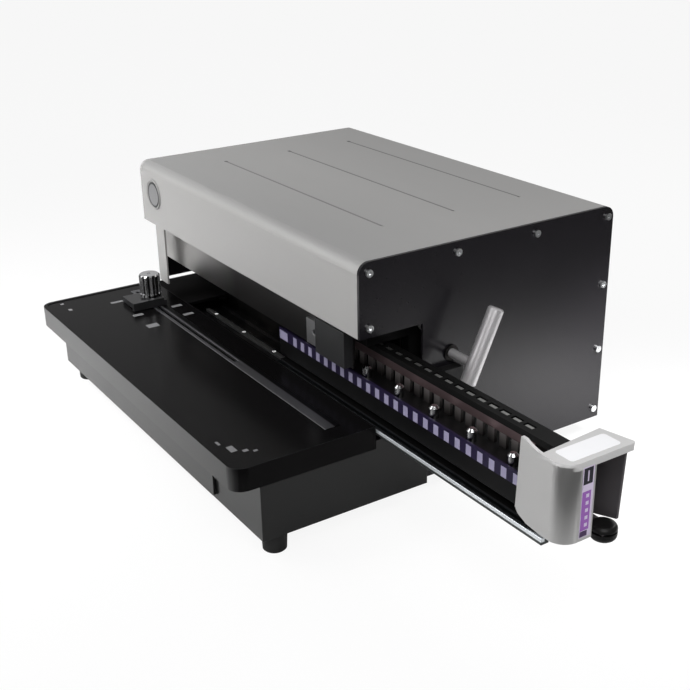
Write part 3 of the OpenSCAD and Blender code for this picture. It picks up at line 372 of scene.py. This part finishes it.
def makeHousing():
    cover = coated("silverPaint", coverPaint)
    tree = cover.node_tree
    level = calc(tree, "SUBTRACT", 1.0, faces(cover, "Mask"))
    # Painted shade: the level faces of the cover's top darken towards its front edge
    frontShade = along(tree, "wrap_cover", 1, *coverPaint["frontShadeRange"])
    shade(cover, calc(tree, "MULTIPLY", level, frontShade), coverPaint["frontShade"])
    dress(cover, "wrap_cover")
    dress(coated("panelBlack", panelPaint), "right_panel")
    panel = coated("panelEdged", panelPaint)
    shade(panel, calc(panel.node_tree, "SUBTRACT", 1.0, faces(panel, "Side")), coverPaint["colour"])
    dress(panel, "left_panel")
    base = coated("baseBlack", basePaint)
    lacquer(base, basePaint["lacquer"])
    dress(base, "base_pan", "drawer_front", "drawer_tray")
    table = coated("tableBlack", tablePaint)
    lacquer(table, tablePaint["lacquer"])
    # Painted highlight: the table's rounded edges are lighter, as if catching the light
    shade(table, faces(table, "Edge"), tablePaint["edgeHighlight"])
    deck = along(table.node_tree, "paper_table", 1, deckMatt["start"], deckMatt["end"])
    roughen(table, deck, deckMatt["rough"])
    dress(table, "paper_table")
    guard = ground("guardSteel", guardSteel)
    # Painted shade: the guard steel darkens from its left end towards the right
    shade(guard, along(guard.node_tree, "throat_guard", 0, *guardSteel["rightShadeRange"]), guardSteel["rightShade"])
    dress(guard, "throat_guard")
    makeBadge(badgeGrey)
    soften(0.4 * mm, "wrap_cover", flatten=True)
    soften(0.4 * mm, "throat_guard")
    soften(1.2 * mm, "paper_table", "base_pan", segments=3)
    soften(0.6 * mm, "drawer_front", "drawer_tray", "cover_badge")


makeHousing()
print("housing dressed")

# Bright fasteners and bare steel
brightScrew = {"colour": (0.72, 0.73, 0.74), "rough": 0.3, "scratch": 0.1, "stain": 0.05}
dullScrew = {"colour": (0.95, 0.95, 0.95), "rough": 0.5, "scratch": 0.1, "stain": 0.05, "metallic": 0.1}
postChrome = {"colour": (0.42, 0.42, 0.43), "rough": 0.16, "scratch": 0.08, "stain": 0.1,
              "stretch": (500.0, 500.0, 8.0)}
pinTips = {"colour": (0.42, 0.385, 0.38), "rough": 0.45, "stain": 0.3, "stretch": (600.0, 600.0, 6.0),
           "headColour": (0.42, 0.42, 0.41), "footShade": (0.02, 0.017, 0.017),
           "foot": (0.72, 0.45), "head": (0.97, 0.985)}
zincSteel = {"colour": (0.5, 0.5, 0.51), "rough": 0.34, "stain": 0.15}
machinedSteel = {"colour": (0.22, 0.22, 0.22), "rough": 0.4, "stain": 0.25}
wearSteel = {"colour": (0.26, 0.26, 0.26), "rough": 0.4, "stain": 0.2}
bedSteel = {"colour": (0.008, 0.008, 0.009), "rough": 0.45, "stain": 0.3, "scratch": 0.2}
stopSteel = {"colour": (0.012, 0.012, 0.013), "rough": 0.6, "stain": 0.1, "metallic": 0.5}
framePaint = {"colour": (0.004, 0.004, 0.004), "rough": 0.5, "specular": 0.06, "dust": 0.002}
pinSteel = {"colour": (0.21, 0.15, 0.155), "rough": 0.42, "stain": 0.35, "stretch": (600.0, 600.0, 6.0),
            "stainColour": (0.07, 0.05, 0.05), "endColour": (0.006, 0.005, 0.005), "end": (0.945, 0.955)}
railGrey = {"colour": (0.16, 0.16, 0.17), "rough": 0.45, "scratch": 0.12, "stain": 0.08,
            "backColour": (0.008, 0.008, 0.009), "back": (0.6, 0.68)}
knobMetal = {"colour": (0.62, 0.62, 0.63), "rough": 0.22, "stretch": (300.0, 300.0, 9.0), "stain": 0.05,
             "ribs": 12.0, "ribShadeColour": (0.012, 0.012, 0.013), "groove": (0.1, 0.7)}
chromeRail = {"colour": (0.06, 0.065, 0.065), "metallic": 0.6, "rough": 0.3, "scratch": 0.08, "stain": 0.04,
              "top": {"colour": (0.36, 0.39, 0.43), "metallic": 1.0, "rough": 0.2},
              "edgeHighlight": (0.86, 0.90, 0.94), "highlightAhead": (0.47, 0.39), "highlightUp": (0.4, 0.5)}
leverChrome = {"colour": (0.52, 0.51, 0.52), "metallic": 0.5, "rough": 0.35, "scratch": 0.06, "stain": 0.03,
               "stretch": (500.0, 500.0, 8.0)}
brassGear = {"colour": (0.55, 0.40, 0.16), "rough": 0.35, "stain": 0.2}


def makePins(s):
    pins = ground("pinTips", s)
    # Painted shade: the pins darken towards their lower ends
    shade(pins, along(pins.node_tree, "punch_pins", 2, *s["foot"]), s["footShade"])
    shade(pins, along(pins.node_tree, "punch_pins", 2, *s["head"]), s["headColour"])
    dress(pins, "punch_pins")


# Painted shade: dark stripes between the knob's ribs, on its upright faces, where the grooves' shade falls
def makeKnob(s):
    knob = ground("knobMetal", s)
    tree = knob.node_tree
    low, high = corners("guide_knob")
    middle = (low + high) / 2 - nodes["guide_knob"].matrix_world.translation
    split = tree.nodes.new("ShaderNodeSeparateXYZ")
    fill(tree, split.inputs[0], place(tree))
    angle = calc(tree, "ARCTAN2", calc(tree, "SUBTRACT", split.outputs["Y"], middle.y),
                 calc(tree, "SUBTRACT", split.outputs["X"], middle.x))
    groove = spot(tree, calc(tree, "COSINE", calc(tree, "MULTIPLY", angle, s["ribs"])), *s["groove"])
    shade(knob, calc(tree, "MULTIPLY", groove, faces(knob, "Mask")), s["ribShadeColour"])
    dress(knob, "guide_knob")


# The die's chrome rail, with light and shade painted in: a paler bluish top for its lit face, a painted
# highlight along its front edge, and painted shade on the faces below
def makeDieRail(s):
    rail = ground("chromeRail", s)
    tree = rail.node_tree
    levelFaces(rail, s["top"])
    ahead, above = along(tree, "die_rail", 1, *s["highlightAhead"]), along(tree, "die_rail", 2, *s["highlightUp"])
    shade(rail, calc(tree, "MULTIPLY", ahead, above), s["edgeHighlight"])
    dress(rail, "die_rail")


def makeGuideRail(s):
    rail = ground("railGrey", s)
    shade(rail, along(rail.node_tree, "guide_rail", 1, *s["back"]), s["backColour"])
    dress(rail, "guide_rail")


def makePinBar(s):
    bar = ground("pinSteel", s)
    shade(bar, along(bar.node_tree, "pin_bar", 0, *s["end"]), s["endColour"])
    dress(bar, "pin_bar")


makePins(pinTips)
makeKnob(knobMetal)
makePinBar(pinSteel)
dress(ground("brightScrew", brightScrew), "panel_screws", "foot_screws")
dress(ground("dullScrew", dullScrew), "strip_screws")
dress(ground("postChrome", postChrome), "bright_posts")
dress(coated("frameBlack", framePaint), "right_frame", "left_frame", "press_guides")
dress(ground("zincSteel", zincSteel), "guard_bracket", "motor_bracket", "drawer_runners", "clamp_nut",
      "clamp_screw", "board_posts", "tie_bars", "guide_pillars")
dress(ground("wearSteel", wearSteel), "wear_strips")
dress(ground("machinedSteel", machinedSteel), "press_bar", "cam_shaft", "press_cams",
      "shaft_bearings", "motor_pinion")
dress(ground("bedSteel", bedSteel), "die_bed", "lever_bush")
dress(ground("stopSteel", stopSteel), "lever_stop")
makeGuideRail(railGrey)
makeDieRail(chromeRail)
dress(ground("leverChrome", leverChrome), "lever_arm")
dress(ground("brassGear", brassGear), "drive_gear")
soften(0.3 * mm, "guard_bracket", "wear_strips", "press_bar", "right_frame", "left_frame", "press_guides")
soften(0.5 * mm, "pin_bar", "lever_stop", "die_bed", "guide_rail", "die_rail")
print("metal dressed")

# Moulded and blackened pieces
blackPlastic = {"colour": (0.012, 0.012, 0.013), "rough": 0.4, "grain": 2200.0}
blackened = {"colour": (0.003, 0.0028, 0.003), "rough": 0.42, "specular": 0.12, "grain": 1700.0, "dust": 0.002}
railBlack = {"colour": (0.004, 0.004, 0.004), "rough": 0.4, "specular": 0.12, "grain": 1700.0, "dust": 0.001}
tailGrey = {"colour": (0.055, 0.050, 0.054), "rough": 0.5, "specular": 0.3, "grain": 1700.0}
handlePlastic = {"colour": (0.69, 0.685, 0.68), "rough": 0.3, "metallic": 0.92, "drift": 0.05, "grain": 2000.0,
                 "top": {"colour": (0.58, 0.575, 0.575), "metallic": 0.2, "rough": 0.4},
                 "lidSide": (0.84, 0.855), "lidEdge": (0.885, 0.905), "lidFrom": (0.45, 0.6)}
rubber = {"colour": (0.008, 0.008, 0.008), "rough": 0.55, "specular": 0.3, "grain": 900.0, "dust": 0.01}
bumperRubber = {"colour": (0.006, 0.006, 0.006), "rough": 0.42, "specular": 0.2, "grain": 900.0, "dust": 0.004}
boardGreen = {"colour": (0.012, 0.075, 0.03), "rough": 0.4, "grain": 700.0, "drift": 0.5}
motorBlack = {"colour": (0.02, 0.02, 0.022), "rough": 0.35}
dress(coated("blackPlastic", blackPlastic), "interlock_block", "side_guide", "power_inlet", "switch_frame",
      "pedal_socket", "switch_rocker")
dress(coated("blackened", blackened), "die_plate", "slot_spacer", "guide_block", "die_screws")
dress(coated("railBlack", railBlack), "top_rail")
dress(coated("tailGrey", tailGrey), "die_end_plate")


# Painted light: the lid of the handle and its edges get a paler, less metallic finish than its front, as a lit
# copy of the same plastic
def makeHandle(s):
    handle = coated("handleGrey", s)
    tree = handle.node_tree
    side = calc(tree, "MULTIPLY", along(tree, "handle", 2, *s["lidSide"]), faces(handle, "Side"))
    outer = along(tree, "handle", 0, *s["lidFrom"])
    edge = calc(tree, "MULTIPLY", along(tree, "handle", 2, *s["lidEdge"]), outer)
    levelFaces(handle, s["top"], calc(tree, "MAXIMUM", side, edge))
    dress(handle, "handle")


makeHandle(handlePlastic)
dress(coated("rubberBlack", rubber), "rubber_feet")
dress(coated("bumperBlack", bumperRubber), "bumper")
dress(coated("boardGreen", boardGreen), "control_board")
dress(coated("motorBlack", motorBlack), "drive_motor")
soften(0.5 * mm, "interlock_block", "side_guide", "power_inlet", "switch_frame", "switch_rocker")
soften(0.4 * mm, "die_plate", "slot_spacer", "guide_block", "top_rail", "die_end_plate")
soften(1.3 * mm, "handle", segments=3)
print("moulded pieces dressed")

# Printed fields: pale marks on the strip, the table and the labels
printInk = {"lilac": (0.27, 0.25, 0.37), "pale": (0.16, 0.16, 0.165), "strip": (0.012, 0.008, 0.030),
            "white": (0.84, 0.84, 0.86), "purple": (0.27, 0.09, 0.40), "mauve": (0.56, 0.49, 0.64),
            "night": (0.012, 0.010, 0.02), "plum": (0.05, 0.02, 0.08)}


def printed(name, colour, rough=0.5, specular=0.4):
    return coated(name, {"colour": colour, "rough": rough, "specular": specular, "grain": 2600.0,
                         "drift": 0.08, "bump": 0.00002})


dress(printed("stripPurple", printInk["strip"], 0.35, 0.18), "index_strip")
dress(printed("labelPaper", printInk["white"]), "handle_label")
dress(printed("labelLilac", printInk["mauve"], 0.35), "end_label")


def addBox(mesh, low, high):
    made = bmesh.ops.create_cube(mesh, size=1.0)["verts"]
    centre = (low + high) / 2
    for vert in made:
        vert.co = centre + Vector(a * b for a, b in zip(vert.co, high - low))


def settle(name, mesh, material, body):
    data = bpy.data.meshes.new(name)
    mesh.to_mesh(data)
    mesh.free()
    piece = bpy.data.objects.new(name, data)
    bpy.context.collection.objects.link(piece)
    data.materials.append(material)
    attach(piece, body)
    return piece


# How far printed plates reach into the face below them, and how round their edges are
plateSink = 0.1 * mm
plateProfile = 0.6


def plates(name, boxes, material, body, edge=0.1 * mm):
    mesh = bmesh.new()
    for low, high in boxes:
        addBox(mesh, Vector(low), Vector(high))
    bmesh.ops.bevel(mesh, geom=mesh.edges[:], offset=edge, segments=2, affect="EDGES", profile=plateProfile)
    return settle(name, mesh, material, body)


stripMarks = {"count": 24, "pins": 23, "width": 6.4 * mm, "height": 9.2 * mm, "lift": 0.15 * mm,
              "label": (1 * mm, 16 * mm), "pinWidth": 8 * mm, "shift": -4.2 * mm, "foot": 0.4 * mm}


def makeStripMarks(s):
    low, high = corners("index_strip")
    pinLow, pinHigh = corners("punch_pins")
    first = pinLow.x + s["pinWidth"] / 2 + s["shift"]
    pitch = (pinHigh.x - pinLow.x - s["pinWidth"]) / (s["pins"] - 1)
    front, back = low.y - s["lift"], low.y + plateSink
    bottom = low.z + s["foot"]
    top = bottom + s["height"]
    half = s["width"] / 2
    boxes = []
    for k in range(s["count"]):
        x = first + k * pitch
        if x + half < high.x:
            boxes.append(((x - half, front, bottom), (x + half, back, top)))
    boxes.append(((low.x + s["label"][0], front, bottom), (low.x + s["label"][1], back, top)))
    plates("strip_marks", boxes, printed("markLilac", printInk["lilac"]), "die")


makeStripMarks(stripMarks)

# Each mark, in millimetres: its middle from the table's front left corner, and its size
tableMarks = {"lift": 0.1 * mm, "railStep": 0.5 * mm, "marks": [
    (96.3, 80, 6, 12), (135, 80.6, 10, 13), (95.5, 128, 6, 12), (126.4, 128, 6, 12), (43.4, 76.5, 5, 15),
    (437.7, 18.3, 11, 6), (446.7, 27, 4, 5), (451.7, 34.2, 3, 4), (421.9, 13, 7, 2.5), (12.8, 21.5, 4, 4),
    (35.9, 23, 6, 4)]}


def makeTableMarks(s):
    corner = corners("paper_table")[0]
    top = corners("guide_rail")[1].z - s["railStep"]
    boxes = []
    for x, y, wide, deep in s["marks"]:
        a = Vector((corner.x + (x - wide / 2) * mm, corner.y + (y - deep / 2) * mm, top - plateSink))
        boxes.append((a, a + Vector((wide * mm, deep * mm, plateSink + s["lift"]))))
    ink = printed("markPale", printInk["pale"])
    plates("table_marks", boxes, ink, "frame", edge=0.03 * mm)


makeTableMarks(tableMarks)

# Plain white label with round corners, shown in place of the square one
topLabel = {"radius": 3 * mm, "steps": 6}


def makeTopLabel(s):
    low, high = corners("handle_label")
    inner, outer = low.xy + Vector((1, 1)) * s["radius"], high.xy - Vector((1, 1)) * s["radius"]
    centres = ((outer.x, outer.y), (inner.x, outer.y), (inner.x, inner.y), (outer.x, inner.y))
    mesh = bmesh.new()
    ring = []
    for turn, centre in enumerate(centres):
        for k in range(s["steps"] + 1):
            angle = math.radians(90 * turn + 90 * k / s["steps"])
            ring.append(mesh.verts.new((centre[0] + s["radius"] * math.cos(angle),
                                        centre[1] + s["radius"] * math.sin(angle), low.z)))
    made = bmesh.ops.extrude_face_region(mesh, geom=[mesh.faces.new(ring)])["geom"]
    upper = [g for g in made if isinstance(g, bmesh.types.BMVert)]
    bmesh.ops.translate(mesh, vec=(0, 0, high.z - low.z), verts=upper)
    bmesh.ops.recalc_face_normals(mesh, faces=mesh.faces[:])
    ink = printed("labelWhite", printInk["white"])
    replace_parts(settle("handle_label_round", mesh, ink, "die"), "handle_label")


makeTopLabel(topLabel)

# Fields of the end label: start and end as shares of its height from the top, then of its width, and the ink
endFields = {"lift": 0.1 * mm, "margin": 0.3 * mm, "fields": [
    (0.01, 0.24, 0.02, 0.90, "night"), (0.05, 0.20, 0.40, 0.52, "white"),
    (0.26, 0.33, 0.0, 1.0, "mauve"), (0.34, 0.90, 0.0, 0.82, "purple"), (0.91, 0.99, 0.0, 0.7, "plum")],
    "dots": {"from": 0.38, "to": 0.80, "count": 5, "tall": 0.05, "left": 0.36, "right": 0.64,
             "lift": 0.18 * mm}}


def makeEndFields(s):
    low, high = corners("end_label")
    tall, deep = high.z - low.z, high.y - low.y - 2 * s["margin"]

    def field(a, b, left, right, lift):
        return ((high.x - plateSink, low.y + s["margin"] + left * deep, high.z - b * tall),
                (high.x + lift, low.y + s["margin"] + right * deep, high.z - a * tall))

    for ink in ("night", "mauve", "purple", "plum"):
        boxes = [field(*f[:4], s["lift"]) for f in s["fields"] if f[4] == ink]
        colour = printed("field_" + ink, printInk[ink])
        plates("end_field_" + ink, boxes, colour, "die", edge=0.04 * mm)
    dots = s["dots"]
    step = (dots["to"] - dots["from"]) / (dots["count"] - 1)
    boxes = [field(*f[:4], dots["lift"]) for f in s["fields"] if f[4] == "white"]
    for k in range(dots["count"]):
        start = dots["from"] + k * step
        boxes.append(field(start, start + dots["tall"], dots["left"], dots["right"], dots["lift"]))
    colour = printed("fieldPale", printInk["mauve"])
    plates("end_field_pale", boxes, colour, "die", edge=0.04 * mm)


makeEndFields(endFields)

# Pressed grooves in the cover's top get grey lines of painted shade, darkest at their left end
grooveShadeLines = {"from": 62.4 * mm, "to": 373.6 * mm, "at": (76.95 * mm, 160.95 * mm, 244.95 * mm),
              "width": 2.6 * mm, "lift": 0.05 * mm, "colour": (0.21, 0.208, 0.206), "end": 4.5 * mm,
              "spread": 0.7 * mm, "endColour": (0.10, 0.10, 0.10), "rough": 0.7}


def makeGrooveShadeLines(s):
    low, high = corners("wrap_cover")
    start, end, under = low.x + s["from"], low.x + s["to"], high.z - plateSink
    fronts = [low.y + y for y in s["at"]]
    boxes = [((start, y, under), (end, y + s["width"], high.z + s["lift"])) for y in fronts]
    grey = printed("grooveShadeGrey", s["colour"], s["rough"])
    plates("groove_shade_lines", boxes, grey, "frame", edge=0.03 * mm)
    wider = s["spread"] / 2
    boxes = [((start - s["spread"], y - wider, under),
              (start + s["end"], y + s["width"] + wider, high.z + 2 * s["lift"])) for y in fronts]
    dark = printed("grooveEndShade", s["endColour"], s["rough"])
    plates("groove_end_shade", boxes, dark, "frame", edge=0.04 * mm)


makeGrooveShadeLines(grooveShadeLines)
print("printed fields placed")

# Camera, at the photograph's angle
camera = {"place": (0.84478, -0.57246, 0.5525), "look": (-0.7728, 0.4982, -0.3933), "roll": -1.06,
          "lens": 57.78, "sensor": 36.0, "near": 0.01}


def makeCamera(s):
    data = bpy.data.cameras.new("photoCamera")
    data.lens = s["lens"]
    data.sensor_width = s["sensor"]
    data.clip_start = s["near"]
    view = bpy.data.objects.new("photoCamera", data)
    view.rotation_mode = "QUATERNION"
    view.location = s["place"]
    turn = Vector(s["look"]).to_track_quat("-Z", "Y")
    view.rotation_quaternion = turn @ Quaternion((0, 0, 1), math.radians(s["roll"]))
    bpy.context.collection.objects.link(view)
    bpy.context.scene.camera = view


makeCamera(camera)

# Studio: a pale floor, soft lamps, white all round. In glossy rays the floor darkens to the right, and most at
# the front right corner. Each lamp: name, place, aim, size, power in watts, spread in degrees
studio = {"floor": (0.82, 0.82, 0.82), "mirrorNear": (0.55, 0.55, 0.55), "mirrorFar": (0.15, 0.15, 0.15),
          "mirrorRange": (0.29, 0.68), "dark": (0.02, 0.02, 0.02), "darkRange": (0.32, 0.56),
          "darkTowards": (0.8, -0.6, 0.0), "bright": 0.6, "dim": 0.14, "from": (-0.75, -0.1, 0.6), "seen": 0.9,
          "size": 14.0,
          "lamps": [("keyLamp", (-0.9, -1.8, 1.25), (0.0, 0.0, 0.12), 1.2, 8.2, 180),
                    ("backLamp", (-0.1, 1.2, 0.95), (-0.1, 0.1, 0.2), 0.8, 3.6, 180),
                    ("lowLamp", (-0.05, -1.7, 0.5), (0.0, 0.0, 0.12), 0.5, 3.2, 180),
                    ("frontPool", (-0.45, -0.75, 0.7), (-0.42, -0.42, 0.0), 0.6, 3.4, 80),
                    ("backPool", (0.25, 0.25, 0.26), (0.25, 0.25, 0.0), 0.12, 1.25, 120),
                    ("sideLamp", (1.5, -0.9, 0.9), (0.3, 0.0, 0.12), 0.8, 5.0, 180),
                    ("dieLamp", (0.62, -0.25, 0.65), (0.30, -0.05, 0.12), 0.35, 1.2, 120)]}


def towards(tree, vector, direction):
    node = tree.nodes.new("ShaderNodeVectorMath")
    node.operation = "DOT_PRODUCT"
    fill(tree, node.inputs[0], vector)
    fill(tree, node.inputs[1], direction)
    return node.outputs["Value"]


def makeStudio(s):
    for name, where, aim, size, power, spread in s["lamps"]:
        data = bpy.data.lights.new(name, "AREA")
        data.size = size
        data.energy = power
        data.spread = math.radians(spread)
        lamp = bpy.data.objects.new(name, data)
        lamp.location = where
        lamp.rotation_euler = (Vector(aim) - Vector(where)).to_track_quat("-Z", "Y").to_euler()
        bpy.context.collection.objects.link(lamp)
    bpy.ops.mesh.primitive_plane_add(size=s["size"], location=(0, 0, 0))
    floor = bpy.context.object
    floor.name = "studio_floor"
    material = bpy.data.materials.new("floorPale")
    material.use_nodes = True
    tree = material.node_tree
    tree.nodes.clear()
    out = tree.nodes.new("ShaderNodeOutputMaterial")
    matt = tree.nodes.new("ShaderNodeBsdfDiffuse")
    glow = tree.nodes.new("ShaderNodeEmission")
    glow.inputs["Color"].default_value = (1, 1, 1, 1)
    glow.inputs["Strength"].default_value = 1.0
    path = tree.nodes.new("ShaderNodeLightPath")
    across = tree.nodes.new("ShaderNodeSeparateXYZ")
    fill(tree, across.inputs[0], place(tree))
    right = spot(tree, across.outputs["X"], *s["mirrorRange"])
    mirrored = blendColour(tree, right, opaque(s["mirrorNear"]), opaque(s["mirrorFar"]))
    corner = towards(tree, place(tree), s["darkTowards"])
    mirrored = blendColour(tree, spot(tree, corner, *s["darkRange"]), mirrored, opaque(s["dark"]))
    shown = blendColour(tree, path.outputs["Is Glossy Ray"], opaque(s["floor"]), mirrored)
    fill(tree, matt.inputs["Color"], shown)
    seen = calc(tree, "MULTIPLY", path.outputs["Is Camera Ray"], s["seen"])
    mix = tree.nodes.new("ShaderNodeMixShader")
    fill(tree, mix.inputs["Fac"], seen)
    fill(tree, mix.inputs[1], matt.outputs["BSDF"])
    fill(tree, mix.inputs[2], glow.outputs["Emission"])
    fill(tree, out.inputs["Surface"], mix.outputs["Shader"])
    floor.data.materials.append(material)
    world = bpy.data.worlds.new("studioWorld")
    bpy.context.scene.world = world
    world.use_nodes = True
    tree = world.node_tree
    back = tree.nodes["Background"]
    path = tree.nodes.new("ShaderNodeLightPath")
    sky = tree.nodes.new("ShaderNodeTexCoord").outputs["Generated"]
    facing = spot(tree, towards(tree, sky, Vector(s["from"]).normalized()), 0.0, 1.0)
    lit = calc(tree, "MULTIPLY_ADD", facing, s["bright"] - s["dim"], s["dim"])
    fill(tree, back.inputs["Color"], (1, 1, 1, 1))
    fill(tree, back.inputs["Strength"], calc(tree, "MAXIMUM", path.outputs["Is Camera Ray"], lit))


makeStudio(studio)
bpy.context.scene.view_settings.view_transform = "Standard"
print("studio lit")
